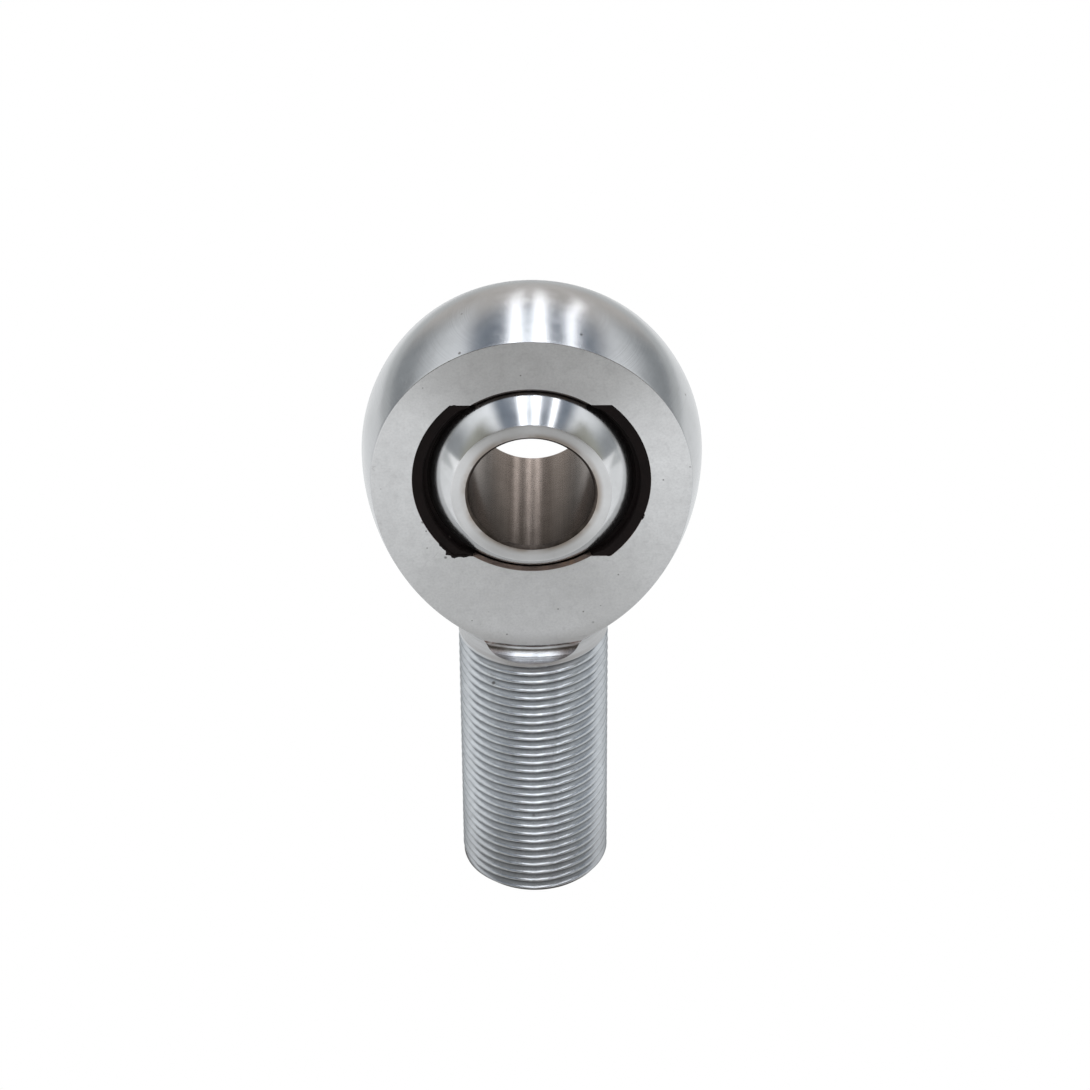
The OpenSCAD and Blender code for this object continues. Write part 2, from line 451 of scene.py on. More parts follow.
def bare_cavity():
    """The spherical seat inside the head: bare brownish steel with an oily film, and painted shade darkening its upper
    half.
    """
    n = Nodes("seat_brown_steel")
    haze = n.noise(n.coord, 380.0, 4.0)
    streak = n.noise(n.vec("MULTIPLY", n.coord, (300.0, 1500.0, 300.0)), 1.0, 3.0)
    color = n.ramp(haze, [(0.3, (0.13, 0.098, 0.085)), (0.55, (0.225, 0.168, 0.145)), (0.72, (0.36, 0.23, 0.15))])
    x, y, z = n.split(n.coord)
    # painted shade: the seat is darkened towards its top, where the head and ball keep the light off it
    upper_painted_shade = n.range(z, -2.0 * MM, 10.0 * MM, 0.0, 0.75)
    color = n.mix(upper_painted_shade, color, (0.02, 0.017, 0.016))
    return n.done(color, 0.45, n.math("ADD", 0.38, n.math("MULTIPLY", haze, 0.2)), n.bump(streak, 0.00002, 0.5))


def race_plastic():
    """The moulded race: black self-lubricating plastic, matte, with flow lines and pale fibre specks."""
    n = Nodes("race_black_moulding")
    haze = n.noise(n.coord, 260.0, 5.0, 0.6, 0.6)
    fine = n.noise(n.coord, 3000.0, 3.0, 0.7)
    fibre = n.cells(n.vec("MULTIPLY", n.coord, (1500.0, 1500.0, 4200.0)), 1.0).outputs["Distance"]
    fibre = n.range(fibre, 0.0, 0.10, 1.0, 0.0)
    dust = n.specks(420.0, 0.16, (2.2, 0.9, 5.1), 0.16)
    color = n.ramp(haze, [(0.3, (0.0056, 0.0034, 0.0033)), (0.7, (0.0125, 0.0080, 0.0076))])
    color = n.mix(n.math("MULTIPLY", fibre, 0.10), color, (0.10, 0.09, 0.08))
    color = n.mix(n.math("MULTIPLY", dust, 0.35), color, (0.20, 0.18, 0.16))
    rough = n.math("ADD", 0.56, n.math("MULTIPLY", haze, 0.24))
    h = n.math("ADD", n.math("MULTIPLY", haze, 0.5), n.math("MULTIPLY", fine, 0.5))
    return n.done(color, 0.0, rough, n.bump(h, 0.00003, 0.7), Specular_IOR_Level=0.12)


def ball_chrome():
    """The ball's polished outside."""
    n = Nodes("ball_hard_chrome")
    haze = n.noise(n.coord, 240.0, 5.0, 0.6)
    x, y, z = n.split(n.coord)
    lines = turned_marks(n, y, 9.0, 0.1)
    wear = n.specks(700.0, 0.12, (4.2, 2.1, 0.5), 0.10)
    color = n.ramp(haze, [(0.3, (0.60, 0.605, 0.61)), (0.7, (0.70, 0.707, 0.715))])
    color = n.mix(n.math("MULTIPLY", wear, 0.35), color, (0.25, 0.24, 0.22))
    rough = n.math("ADD", 0.10, n.math("ADD", n.math("MULTIPLY", haze, 0.06), n.math("MULTIPLY", lines, 0.04)))
    return n.done(color, 1.0, rough, n.bump(lines, 0.000004, 0.6), 0.3, radial_tangent(n, "Y"))


def ball_side():
    """The ball's flat sides: ground satin chrome, browned a little round the bore."""
    n = Nodes("ball_side_satin")
    r = n.radius("y")
    haze = n.noise(n.coord, 300.0, 5.0, 0.6)
    lines = turned_marks(n, r, 8.0)
    blot = n.noise(n.coord, 150.0, 3.0)
    stain = n.math("MULTIPLY", n.range(r, 13.35 * MM, 14.9 * MM, 1.0, 0.0), n.range(blot, 0.34, 0.56, 0.35, 1.0))
    color = n.ramp(haze, [(0.3, (0.63, 0.63, 0.632)), (0.7, (0.71, 0.712, 0.716))])
    color = n.mix(n.math("MULTIPLY", stain, 0.8), color, (0.30, 0.24, 0.19))
    dirt = n.specks(260.0, 0.10, (9.1, 0.3, 1.9), 0.16)
    color = n.mix(n.math("MULTIPLY", dirt, 0.7), color, (0.10, 0.08, 0.07))
    rough = n.math("ADD", 0.29, n.math("MULTIPLY", haze, 0.10))
    return n.done(color, 1.0, rough, n.bump(lines, 0.000008, 0.4), 0.93, radial_tangent(n, "Y"))


def ball_bore():
    """The bore: matte brown-grey honed steel, unplated, with lengthwise streaks, and painted light and shade along its
    length.
    """
    n = Nodes("ball_bore_honed")
    a = n.angle("y")
    x, y, z = n.split(n.coord)
    long = n.noise(n.join(n.math("MULTIPLY", a, 38.0), n.math("MULTIPLY", y, 60.0), 0.0), 1.0, 4.0, 0.65)
    fleck = n.noise(n.join(n.math("MULTIPLY", a, 130.0), n.math("MULTIPLY", y, 2600.0), 0.0), 1.0, 3.0, 0.6)
    haze = n.noise(n.coord, 300.0, 4.0)
    dirt = n.math("MAXIMUM", n.specks(520.0, 0.14, (1.1, 8.3, 0.7), 0.14), n.math("MULTIPLY", n.specks(1500.0, 0.2, (3.1, 2.3, 0.7), 0.25), 0.7))
    v = n.math("ADD", n.math("MULTIPLY", long, 0.45), n.math("ADD", n.math("MULTIPLY", fleck, 0.25), n.math("MULTIPLY", haze, 0.3)))
    color = n.ramp(v, [(0.3, (0.140, 0.112, 0.094)), (0.5, (0.215, 0.178, 0.153)), (0.72, (0.31, 0.265, 0.235))])
    # painted light and shade along the bore: darker towards the front opening, brighter towards the back
    painted_shading = n.range(y, -BALL_W * MM, BALL_W * MM, 0.45, 1.30, False)
    color = n.mix(1.0, color, n.join(painted_shading, painted_shading, painted_shading), "MULTIPLY")
    color = n.mix(n.math("MULTIPLY", dirt, 0.7), color, (0.05, 0.04, 0.035))
    rough = n.math("ADD", 0.20, n.math("MULTIPLY", fleck, 0.16))
    return n.done(color, 0.95, rough, n.bump(n.math("ADD", long, fleck), 0.000012, 0.4), 0.75, radial_tangent(n, "Y"))


def ball_chamfer():
    # painted shade: the chamfer round the bore is coloured near black, standing in for the ring of shade at the bore's
    # edge
    n = Nodes("ball_chamfer_painted_shade")
    haze = n.noise(n.coord, 500.0, 4.0)
    color = n.ramp(haze, [(0.3, (0.035, 0.027, 0.023)), (0.7, (0.10, 0.082, 0.07))])
    return n.done(color, 0.9, n.math("ADD", 0.30, n.math("MULTIPLY", haze, 0.2)), n.bump(haze, 0.00001, 0.4))


def shank_end():
    n = Nodes("zinc_shank_end")
    r = n.radius("z")
    lines = turned_marks(n, r, 3.0)
    haze = n.noise(n.coord, 300.0, 4.0)
    color = n.ramp(haze, [(0.3, (0.45, 0.46, 0.475)), (0.7, (0.57, 0.585, 0.60))])
    return n.done(color, 1.0, n.math("ADD", 0.26, n.math("MULTIPLY", haze, 0.14)), n.bump(lines, 0.00003, 0.6), 0.3, radial_tangent(n, "Z"))


def studio_floor():
    """A white sheet: plain white to the camera; to the metal it glows as painted light, a lit sheet of limited size
    with painted pools of light and a painted shadow of the object.
    """
    n = Nodes("floor_white_sheet")
    p = n.node("ShaderNodeNewGeometry")
    x, y, z = n.split(p.outputs["Position"])
    wide = n.range(n.math("ABSOLUTE", x), 0.50, 0.62, 1.0, 0.0)
    back = n.range(y, 0.50, 0.66, 1.0, 0.0)
    front = n.range(n.math("ADD", y, n.math("MULTIPLY", n.math("ABSOLUTE", x), 1.1)), -0.31, -0.19, 0.0, 1.0)
    # painted shadow of the object on the sheet in front of it, seen only by the metal
    near = n.math("MULTIPLY", n.range(n.math("ABSOLUTE", n.math("ADD", y, 0.118)), 0.02, 0.06, 1.0, 0.0), n.range(n.math("ABSOLUTE", x), 0.07, 0.15, 1.0, 0.0))
    sheet = n.mix(n.math("MULTIPLY", wide, back), (0.60, 0.62, 0.625), (0.93, 0.945, 0.955))
    # painted pools of light on the sheet to either side of the object, seen only by the metal
    bright = n.math("MULTIPLY", n.range(n.math("ABSOLUTE", x), 0.04, 0.20), n.range(y, -0.16, -0.09, 1.0, 0.0))
    sheet = n.mix(bright, sheet, n.mix(n.range(x, -0.03, 0.03), (1.20, 1.21, 1.22), (1.10, 1.11, 1.12)))
    # painted contact shadow close in front of the base, joined to the painted shadow above
    close = n.math("MULTIPLY", n.range(y, -0.085, -0.03, 0.3, 1.0), n.range(n.math("ABSOLUTE", x), 0.04, 0.10, 1.0, 0.0))
    near = n.math("MAXIMUM", near, n.math("MULTIPLY", close, n.range(n.math("ABSOLUTE", y), 0.08, 0.12, 1.0, 0.0)))
    sheet = n.mix(near, sheet, (0.70, 0.71, 0.715))
    seen = n.mix(front, (0.13, 0.118, 0.098), sheet)
    # the sheet glows rather than being lit by the lamps: painted light
    e = n.node("ShaderNodeEmission")
    ray = n.node("ShaderNodeLightPath").outputs["Is Camera Ray"]
    n.put(e.inputs["Color"], n.mix(ray, seen, (1.0, 1.0, 1.0)))
    n.put(e.inputs["Strength"], 1.0)
    clear = n.node("ShaderNodeBsdfTransparent")
    m = n.node("ShaderNodeMixShader")
    n.put(m.inputs[0], p.outputs["Backfacing"])
    n.t.links.new(e.outputs[0], m.inputs[1])
    n.t.links.new(clear.outputs[0], m.inputs[2])
    n.t.links.new(m.outputs[0], n.t.nodes["Material Output"].inputs["Surface"])
    return n.mat


class WorldNodes(Nodes):
    def __init__(self, world):
        world.use_nodes = True
        self.t = world.node_tree
        self.coord = self.t.nodes.new("ShaderNodeTexCoord").outputs["Generated"]


def studio_room(world):
    """A white tent round the object: three long tubes overhead, bright side walls, a dim open front."""
    n = WorldNodes(world)
    x, y, z = n.split(n.coord)
    k = n.math("DIVIDE", x, n.math("MAXIMUM", z, 0.04))
    k = n.math("MULTIPLY", k, n.range(z, 0.0, 0.77, 0.70, 1.0, False))
    ak = n.math("MAXIMUM", n.math("MULTIPLY", k, -1.10), n.math("MULTIPLY", k, 0.90))
    tubes = None
    for where, half, gain, drift in TUBES:
        line = n.math("ADD", where, n.range(z, 0.0, 0.70, drift, 0.0))
        d = n.math("ABSOLUTE", n.math("SUBTRACT", k, line))
        t = n.math("MULTIPLY", n.range(d, half * 0.55, half * 1.45, 1.0, 0.0), gain)
        tubes = t if tubes is None else n.math("MAXIMUM", tubes, t)
    tubes = n.math("MULTIPLY", tubes, n.range(z, 0.08, 0.62))
    wall = n.ramp(z, WALL)
    wall_in = n.range(ak, 0.60, 0.92)
    ceiling = n.mix(n.range(z, 0.35, 0.80), (0.62, 0.59, 0.555), CEILING)
    ceiling = n.mix(n.range(z, 0.88, 0.97), ceiling, (0.50, 0.54, 0.60))
    room = n.mix(wall_in, ceiling, wall)
    between = n.math("MULTIPLY", n.range(n.math("ABSOLUTE", n.math("ADD", k, 0.0375)), 0.07, 0.17, 1.0, 0.0), n.range(z, 0.55, 0.80))
    room = n.mix(between, room, (0.84, 0.90, 0.97))
    aside = n.range(n.math("ABSOLUTE", x), 0.35, 0.65)
    horizon = n.mix(aside, (0.62, 0.59, 0.555), (0.35, 0.368, 0.38))
    room = n.mix(n.range(z, 0.14, 0.52), horizon, room)
    flat = n.math("SQRT", n.math("ADD", n.math("MULTIPLY", x, x), n.math("MULTIPLY", y, y)))
    ahead = n.math("DIVIDE", y, n.math("MAXIMUM", flat, 0.001))
    front = n.math("MULTIPLY", n.range(ahead, -0.38, -0.20, 1.0, 0.0), n.range(z, 0.52, 0.74, 1.0, 0.0))
    deep = n.mix(n.range(ahead, -0.85, -0.35), FRONT, (0.40, 0.40, 0.35))
    room = n.mix(front, room, deep)
    tube = n.mix(1.0, n.join(tubes, tubes, tubes), (1.0, 1.0, 1.02), "MULTIPLY")
    room = n.mix(1.0, room, tube, "ADD")
    room = n.mix(1.0, room, (0.985, 0.99, 1.0), "MULTIPLY")
    ray = n.node("ShaderNodeLightPath").outputs["Is Camera Ray"]
    room = n.mix(ray, room, (1.0, 1.0, 1.0))
    bg = n.t.nodes["Background"]
    n.put(bg.inputs["Color"], room)
    n.put(bg.inputs["Strength"], 1.0)


# across-to-up ratio, half width, brightness and low drift of each overhead tube
TUBES = ((-0.165, 0.062, 2.3, 0.0), (0.09, 0.058, 2.6, 0.0), (0.41, 0.055, 2.6, 0.36))
WALL = [(0.0, (0.56, 0.59, 0.60)), (0.18, (0.62, 0.645, 0.655)), (0.45, (0.86, 0.88, 0.89)), (0.75, (1.12, 1.14, 1.16)), (1.0, (0.85, 0.87, 0.90))]
CEILING = (0.235, 0.27, 0.32)
FRONT = (0.13, 0.118, 0.098)


# ----------------------------------------------------------------------------
# The head and shank
# ----------------------------------------------------------------------------
EDGE = 0.07       # edge break on the flats
LIP = 0.04        # edge break on the mouth of the seat


def rho(z):
    """Radius of the turned outside below the ball's centre."""
    z = np.asarray(z, float)
    arc = ARC_C + np.sqrt(np.maximum(ARC_L ** 2 - z ** 2, 0))
    fil = FIL_X - np.sqrt(np.maximum(NECK_F ** 2 - (z - FIL_Z) ** 2, 0))
    return np.where(z >= TOUCH_Z, arc, np.where(z >= FIL_Z, fil, SHANK_R))


def outline(z):
    """Half width of the flat's outline at height z, where z is not above 0."""
    return np.sqrt(np.maximum(rho(z) ** 2 - FLAT ** 2, 0))


def bisect(f, lo, hi, steps=60):
    """A root of f between arrays lo (f below 0) and hi (f above 0)."""
    lo, hi = np.array(lo, float), np.array(hi, float)
    for _ in range(steps):
        mid = (lo + hi) / 2
        up = f(mid) > 0
        hi = np.where(up, mid, hi)
        lo = np.where(up, lo, mid)
    return (lo + hi) / 2


z_corner = float(bisect(lambda z: REACH - np.hypot(outline(z), z), np.array(Z_RING), np.array(-30.0)))


def edge_inset(x, z, keep):
    """Points of the outline moved in by the edge break, along the outline's own normal."""
    tx, tz = np.gradient(x), np.gradient(z)
    length = np.hypot(tx, tz)
    nx, nz = tz / length, -tx / length
    side = np.sign(nx * x + nz * z)          # point inwards, towards the bore
    return x - side * nx * EDGE * keep, z - side * nz * EDGE * keep


def build_body():
    s = Shape()
    # heights of the rows on each side, from the corner up to the ball's centre,
    # spaced evenly by angle and meeting the slots' corners
    zz = np.linspace(0, z_corner, 4000)
    ang = np.arctan2(-zz, outline(zz))
    corner_angles = [math.asin(SLOT_H / SLOT_R), math.asin(SLOT_H / MOUTH)]
    low_angles = np.unique(np.r_[np.linspace(0, ang[-1], 74), corner_angles])
    low_z = np.interp(low_angles, ang, zz)
    low_z[0], low_z[-1] = 0.0, z_corner
    up_angles = np.unique(np.r_[np.linspace(0, math.pi, 181), corner_angles, math.pi - np.array(corner_angles)])
    below = Z_RING + (z_corner - Z_RING) * np.linspace(0, 1, 9)[:-1]

    # columns across the head
    mid_cols = np.linspace(-(FLAT - EDGE), FLAT - EDGE, 40)

    def side_rows(z, sign, keep, rounded):
        """Rows of the outer strip at heights z: mid columns, and three more at each edge."""
        r = rho(z)[:, None]
        y = mid_cols[None, :]
        mid = np.stack([sign * np.sqrt(r ** 2 - y ** 2), np.broadcast_to(y, (len(z), len(mid_cols))), np.broadcast_to(z[:, None], (len(z), len(mid_cols)))], -1)
        cols = [mid]
        front, back = [], []
        xe = outline(z)
        if rounded:
            ix, iz = edge_inset(xe, z, 1.0)
        for fy, store in ((-1, front), (1, back)):
            p1 = np.stack([sign * np.sqrt(rho(z) ** 2 - (FLAT - EDGE) ** 2), np.full_like(z, fy * (FLAT - EDGE)), z], -1)
            e = np.stack([sign * xe, np.full_like(z, fy * FLAT), z], -1)
            half = np.stack([sign * np.sqrt(rho(z) ** 2 - (FLAT - EDGE / 2) ** 2), np.full_like(z, fy * (FLAT - EDGE / 2)), z], -1)
            if rounded:
                p3 = np.stack([sign * ix, np.full_like(z, fy * FLAT), iz], -1)
                arc = e + (p1 + p3 - 2 * e) * 0.2929
                k = keep[:, None]
                p3 = e * (1 - k) + p3 * k
                p2 = half * (1 - k) + arc * k
            else:
                p3, p2 = e, half
            store += [p2, p3]
        return np.concatenate([np.stack(front[::-1], 1), mid, np.stack(back, 1)], 1)

    keep = smooth(0, 1.6, low_z - z_corner)
    right_low = side_rows(low_z, 1, keep, True)
    left_low = side_rows(low_z, -1, keep, True)
    right_neck = side_rows(below, 1, None, False)
    left_neck = side_rows(below, -1, None, False)
    # over the top, about the bore's axis
    ca, sa = np.cos(up_angles), np.sin(up_angles)

    def ring(radius, y):
        return np.stack([radius * ca, np.full_like(ca, y), radius * sa], -1)

    outer = math.sqrt(HEAD_R ** 2 - FLAT ** 2)
    r1 = math.sqrt(HEAD_R ** 2 - (FLAT - EDGE) ** 2)
    r3 = outer - EDGE
    ra = outer + (r1 + r3 - 2 * outer) * 0.2929
    ya = FLAT + (FLAT - EDGE + FLAT - 2 * FLAT) * 0.2929
    top = np.stack([ring(r3, -FLAT), ring(ra, -ya)] + [ring(math.sqrt(HEAD_R ** 2 - y * y), y) for y in mid_cols] + [ring(ra, ya), ring(r3, FLAT)], 1)
    # make the shared rows identical
    right_low[0] = top[0]
    left_low[0] = top[-1]
    strip = np.concatenate([right_neck, right_low[::-1], top[1:-1], left_low, left_neck[::-1]], 0)
    # the whole strip, the neck below the touch point included, takes the outside's finish
    s.grid(strip, 0)

    # front and back sectors of the neck below the flats, and the run-out above them
    nu = 49
    u = np.linspace(-1, 1, nu)
    v = np.linspace(0, 1, 9)
    run_s, run_r, run_y = run_out_profile()

    def on_neck(u, z):
        x = u * outline(z)
        return x, np.sqrt(np.maximum(rho(z) ** 2 - x ** 2, 0))

    def inside(z, u):
        x, y = on_neck(u, z)
        r = np.hypot(x, z)
        return np.where(r < REACH, y - FLAT, np.where(r < run_r[-1], y - np.interp(r, run_r, run_y), -1.0))

    ui = u[1:-1]
    zb = np.empty(nu)
    zb[0] = zb[-1] = z_corner
    zb[1:-1] = bisect(lambda z: inside(z, ui), np.full(nu - 2, Z_RING), np.full(nu - 2, -38.0))
    xb, yb = on_neck(u, zb)
    yb[0] = yb[-1] = FLAT
    phi = np.arctan2(zb, xb)
    taper = smooth(0, 0.22, 1 - np.abs(u))
    for fy in (-1, 1):
        z = Z_RING + (zb[None, :] - Z_RING) * v[:, None]
        x, y = on_neck(np.broadcast_to(u, z.shape), z)
        y[:, 0] = y[:, -1] = FLAT
        neck = np.stack([x, fy * y, z], -1)
        neck[-1] = np.stack([xb, fy * yb, zb], -1)
        s.grid(neck, 0)
        # the run-out: a narrow witness line round the end of the flat, then a curved shoulder
        part = np.interp(yb, run_y, run_s)
        start = -0.62 * taper
        k = np.r_[0, 0.008, np.linspace(0.02, 1, 44) ** 1.3]
        arc = start[None, :] + (part - start)[None, :] * k[:, None]
        r = np.where(arc < 0, REACH + arc, np.interp(arc, run_s, run_r))
        yy = np.where(arc < 0, FLAT, np.interp(arc, run_s, run_y))
        groove = 0.10 * np.exp(-((arc - (WITNESS - REACH)) / 0.11) ** 2) * taper[None, :]
        yy = yy - groove * (k[:, None] > 0.01) * (k[:, None] < 1)
        pts = np.stack([r * np.cos(phi)[None, :], fy * yy, r * np.sin(phi)[None, :]], -1)
        pts[-1] = neck[-1]
        first = pts[0].copy()
        first[0] = [xb[0], fy * FLAT, zb[0]]
        first[-1] = [xb[-1], fy * FLAT, zb[-1]]
        pts[0] = first
        pts[:, 0], pts[:, -1] = first[0], first[-1]
        s.grid(pts, 2)

        # the flat itself: from its outline in to the mouth of the seat
        rows = strip[len(below):len(strip) - len(below)]
        rim = rows[:, 0] if fy < 0 else rows[:, -1]
        # from the right corner round over the top to the left corner, then back along the run-out
        loop = np.concatenate([rim, pts[0][1:-1]], 0)
        t = np.arctan2(loop[:, 2], loop[:, 0])
        mouth = mouth_radius(t, fy * FLAT, FLAT - 0.01)
        inner = np.stack([(mouth + LIP) * np.cos(t), np.full_like(t, fy * FLAT), (mouth + LIP) * np.sin(t)], -1)
        steps = np.array([0, 0.012, 0.03, 0.3, 0.7, 0.97, 0.988, 1.0])[:, None, None]
        s.grid(loop[None] * (1 - steps) + inner[None] * steps, 1, close_v=True)
        if fy < 0:
            t_front = t
        else:
            t_back = t

    # the seat: one angle list for both mouths, so the walls join without gaps
    t = t_front
    assert np.allclose(t_front, t_back)
    # (depth where the chamfer meets the ball-shaped seat)
    c = MOUTH - FLAT
    inner_y = FLAT - 0.02
    for _ in range(60):
        inner_y -= 0.5 * ((inner_y + c) - math.sqrt(CAVITY ** 2 - inner_y ** 2))
    chamfer = np.linspace(FLAT - LIP, inner_y, 7)
    half = np.concatenate([[FLAT, FLAT - LIP * 0.3], chamfer])
    ys = np.concatenate([-half, np.linspace(-inner_y, inner_y, 41)[1:-1], half[::-1]])
    rings = []
    for i, y in enumerate(ys):
        grow = (LIP if i in (0, len(ys) - 1) else LIP * 0.3 if i in (1, len(ys) - 2) else 0.0)
        r = mouth_radius(t, y, inner_y) + grow
        rings.append(np.stack([r * np.cos(t), np.full_like(t, y), r * np.sin(t)], -1))
    s.grid(np.stack(rings, 0), 3, close_v=True)

    # the shank: a true right-hand thread on the same columns as the neck above
    front_cols = np.stack([u * outline(np.array(Z_RING)), -np.sqrt(SHANK_R ** 2 - (u * outline(np.array(Z_RING))) ** 2)], -1)
    right_cols = strip[0][:, :2]
    left_cols = strip[-1][:, :2]
    ring_xy = np.concatenate([right_cols, (front_cols * [1, -1])[::-1][1:-1], left_cols[::-1], front_cols[1:-1]], 0)
    theta = np.unwrap(np.arctan2(ring_xy[:, 1], ring_xy[:, 0]))
    rows = int(round((Z_RING - Z_END) / PITCH * 22))
    z = np.linspace(Z_RING, Z_END, rows + 1)
    r = thread_radius(theta[None, :], z[:, None])
    grid = np.stack([r * np.cos(theta), r * np.sin(theta), np.broadcast_to(z[:, None], r.shape)], -1)
    grid[0, :, :2] = ring_xy
    s.grid(grid, 4, close_v=True)
    end_r = grid[-1, :, :2]
    fade = np.array([1, 0.985, 0.8, 0.6, 0.4, 0.2, 0.0])[:, None, None]
    disc = np.concatenate([end_r[None] * fade, np.full((7, len(theta), 1), Z_END)], -1)
    s.grid(disc, 5, close_v=True)
    return s.build("rod_end_body_visual", [plated_outer(), plated_flat(), plated_runout(), bare_cavity(), plated_thread(), shank_end()])


def run_out_profile():
    """The shoulder under a flat, in the plane through the bore's axis: length along it, radius, depth."""
    slope = math.radians(85)
    bend = np.linspace(0, slope, 100)
    r, y = list(REACH + 2.0 * np.sin(bend)), list(FLAT + 2.0 * (1 - np.cos(bend)))
    r0, y0 = r[-1], y[-1]
    for k in np.linspace(0, 1, 60)[1:]:
        y.append(y0 + (SHANK_R + 0.05 - y0) * k)
        r.append(r0 + (y[-1] - y0) / math.tan(slope))
    r, y = np.array(r), np.array(y)
    length = np.concatenate([[0], np.cumsum(np.hypot(np.diff(r), np.diff(y)))])
    return length, r, y


def mouth_radius(t, y, inner_y):
    """Radius of the opening through the head at angle t and depth y: chamfer, seat, and the slots on the front half."""
    seat = MOUTH - FLAT + abs(y) if abs(y) > inner_y else math.sqrt(CAVITY ** 2 - y * y)
    if y >= 0:
        return np.full_like(t, seat)
    slot = np.minimum(SLOT_R, SLOT_H / np.maximum(np.abs(np.sin(t)), 1e-9))
    return np.maximum(seat, slot)


def thread_profile():
    """Depth of the groove across one pitch, rounded at the crest and the root."""
    q = np.linspace(-0.5, 0.5, 2001)
    depth = np.clip((7 / 16 - np.abs(q)) * PITCH * math.tan(math.radians(60)), 0, 0.6134 * PITCH)
    for width in (0.085, 0.06):
        n = int(width * 2000)
        kernel = np.ones(n) / n
        depth = np.convolve(np.r_[depth[-n - 1:-1], depth, depth[1:n + 1]], kernel, "same")[n:-n]
    return q, depth


def thread_radius(theta, z):
    """Radius of the shank with its right-hand groove, the groove's run-out at the neck and the end chamfer."""
    q, depth = thread_profile()
    turn = (theta + math.pi / 2) / (2 * math.pi)
    p = (z + THREAD_FROM) / PITCH - turn
    frac = (p + 0.5) % 1 - 0.5
    centre = z - frac * PITCH
    start = smooth(0.0, 0.55, (-43.3 - centre) / PITCH)
    d = np.interp(frac, q, depth) * start
    # rolled crests are never quite even
    d = d + 0.012 * (1 + wave(theta * 3.1, z * 0.6, 0 * z, 1.3)) * np.minimum(1, d * 2 + 0.15) * smooth(-43.4, -44.6, z)
    r = SHANK_R - d
    bevel = SHANK_R - CHAMFER + (z - Z_END)
    return np.minimum(r, bevel)


# ----------------------------------------------------------------------------
# The moulded race
# ----------------------------------------------------------------------------
def build_race():
    s = Shape()
    gap = 0.02
    inner = BALL_R + 0.05
    outer = CAVITY - gap
    slot_r, slot_h = SLOT_R - gap, SLOT_H - gap
    front = FLAT - RECESS
    ring_out = math.sqrt(outer ** 2 - front ** 2)
    seat = math.sqrt(inner ** 2 - front ** 2)
    a0 = math.asin(slot_h / slot_r)
    a1 = math.asin(slot_h / ring_out)
    corners = np.array([a0, a1])
    t = np.unique(np.r_[np.linspace(-math.pi, math.pi, 721)[:-1], corners, math.pi - corners, -corners, corners - math.pi])
    fold = np.arctan2(np.abs(np.sin(t)), np.abs(np.cos(t)))
    ear = np.minimum(slot_r, slot_h / np.maximum(np.sin(fold), 1e-9))
    # moulded edges are never quite straight: the ears swell a little over their top edge
    rag = 0.05 * wave(t * 9.0, t * 3.1, t * 4.2, 2.0)
    swell = 0.16 * np.exp(-((t - (math.pi - 0.875)) / 0.07) ** 2) - 0.10 * np.exp(-((t - 0.86) / 0.05) ** 2)
    here = ear > ring_out + 1e-6
    lift = smooth(0.0, 0.30, ear - ring_out) * RECESS
    step = np.minimum(EAR_STEP + rag, np.maximum(ear - 0.05, ring_out))
    rim = np.maximum(ear, ring_out)
    x, z = np.cos(t), np.sin(t)
    loops = []

    def loop(r, y):
        r = np.broadcast_to(np.asarray(r, float), t.shape)
        y = np.broadcast_to(np.asarray(y, float), t.shape)
        loops.append(np.stack([r * x, y, r * z], -1))

    # the seat for the ball, from the back to the front
    for y in np.linspace(front, -front, 31):
        loop(math.sqrt(inner ** 2 - y * y), y)
    # the recessed land, the soft step up, the ear's face level with the flat, and its rounded edge
    width = rim - seat
    at = np.where(here, np.clip((step - seat) / width, 0.3, 0.97), 0.6)
    round_off = np.minimum(0.10, lift * 0.1)
    face = -front - lift
    loop(seat + width * at * 0.5, -front)
    loop(seat + width * at - 0.02, -front)
    loop(seat + width * at, -front - lift * 0.10)
    loop(seat + width * at + 0.02 * here, -front - lift * 0.82)
    loop(seat + width * (at + (1 - at) * 0.10), face + round_off * 0.3)
    loop(seat + width * (at + (1 - at) * 0.25), face)
    loop(seat + width * (at + (1 - at) * 0.80), face)
    loop(rim - np.minimum(0.05, 0.05 * (rim - seat)), face + round_off * 0.25)
    loop(rim, face + round_off)
    # down the ear's wall to where the slot meets the ball-shaped seat, then round the outside to the back
    meet = np.minimum(np.sqrt(np.maximum(outer ** 2 - rim ** 2, 0)), front)
    for k in (0.35, 0.7, 1.0):
        y = (face + round_off) * (1 - k) - meet * k
        loop(np.where(here, rim, np.sqrt(np.maximum(outer ** 2 - y ** 2, 0))), y)
    for k in np.linspace(0, 1, 31)[1:]:
        y = -meet * (1 - k) + front * k
        loop(np.sqrt(np.maximum(outer ** 2 - y ** 2, 0)), y)
    s.grid(np.stack(loops, 0), 0, close_u=True, close_v=True)
    # flash: ragged crumbs of plastic squeezed over the flat at the ears' edges
    rng = np.random.default_rng(11)
    for px, pz, size in ((22.62, -8.8, 0.30), (22.86, -8.1, 0.22), (-15.3, 18.0, 0.22), (15.7, -17.95, 0.24)):
        crumb(s, px, -FLAT - 0.03, pz, size, rng)
    flash(s, rng)
    return s.build("molded_race_visual", [race_plastic()], sharp_deg=40)


